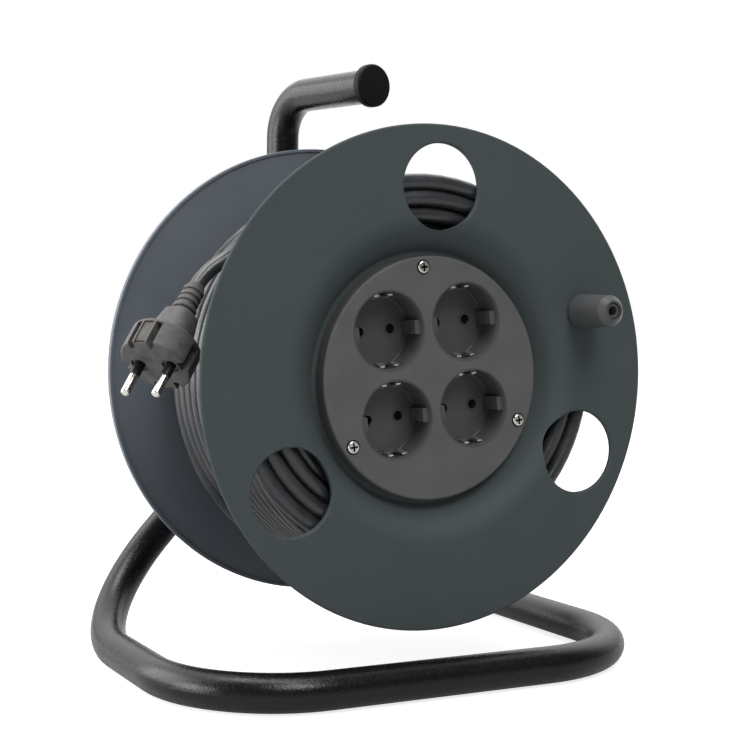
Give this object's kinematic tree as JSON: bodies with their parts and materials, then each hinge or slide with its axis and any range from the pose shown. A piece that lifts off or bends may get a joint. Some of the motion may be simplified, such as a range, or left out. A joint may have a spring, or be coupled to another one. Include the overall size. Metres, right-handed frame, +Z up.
{
  "type": "extension cord reel",
  "caption": "Free-standing extension cord reel: a bent tube frame carries a turning drum with earthed sockets, a crank knob, a wound cable and its plug.",
  "frame": {"origin": "on the floor, under the middle of the reel's own box, without the free cable and plug", "axes": "+Z up; -Y the way the sockets face; the drum's axis lies along Y"},
  "size_m": [0.3112, 0.221, 0.3461],
  "materials": {
    "painted_tube": "gloss",
    "black_plastic": "matt",
    "drum_plastic": "satin",
    "panel_plastic": "satin",
    "socket_plastic": "gloss",
    "knob_plastic": "satin",
    "bush_plastic": "satin",
    "nickel": "bright",
    "zinc_steel": "zinc plated",
    "brass": "plain",
    "cable_rubber": "satin",
    "plug_rubber": "matt"
  },
  "bodies": {
    "frame": {"frame_tube": "painted_tube", "runner_end_cap": "black_plastic", "handle_end_cap": "black_plastic", "axle_bracket": "painted_tube", "bracket_bolts": "zinc_steel", "axle": "zinc_steel", "axle_spacer": "black_plastic", "axle_washer": "zinc_steel", "axle_bolt": "zinc_steel"},
    "drum": {"front_flange": "drum_plastic", "drum_barrel": "drum_plastic", "rear_flange": "drum_plastic", "front_join_screws": "zinc_steel", "rear_join_screws": "zinc_steel", "front_bush": "bush_plastic", "rear_bush": "bush_plastic", "socket_panel": "panel_plastic", "panel_screws": "nickel", "pin_contacts": "brass", "contact_carrier": "bush_plastic", "contact_bars": "brass", "terminal_housing": "black_plastic", "knob_pin": "knob_plastic", "cable_core": "cable_rubber", "wound_cable": "cable_rubber", "cable_tail": "cable_rubber", "plug_body": "plug_rubber", "bend_relief": "plug_rubber", "plug_pins": "nickel", "pin_sleeves": "black_plastic", "plug_earth_strips": "nickel", "socket_cup_1": "socket_plastic", "earth_clip_1": "nickel", "socket_cup_2": "socket_plastic", "earth_clip_2": "nickel", "socket_cup_3": "socket_plastic", "earth_clip_3": "nickel", "socket_cup_4": "socket_plastic", "earth_clip_4": "nickel"},
    "knob": {"crank_knob": "knob_plastic"}
  },
  "joints": [
    {"name": "drum_spin", "type": "hinge", "parent": "frame", "child": "drum", "pos_m": [0, -0.0095, 0.165], "axis": [0, 1, 0], "continuous": true},
    {"name": "knob_spin", "type": "hinge", "parent": "drum", "child": "knob", "pos_m": [0.0929, -0.0945, 0.20254], "axis": [0, 1, 0], "continuous": true}
  ]
}
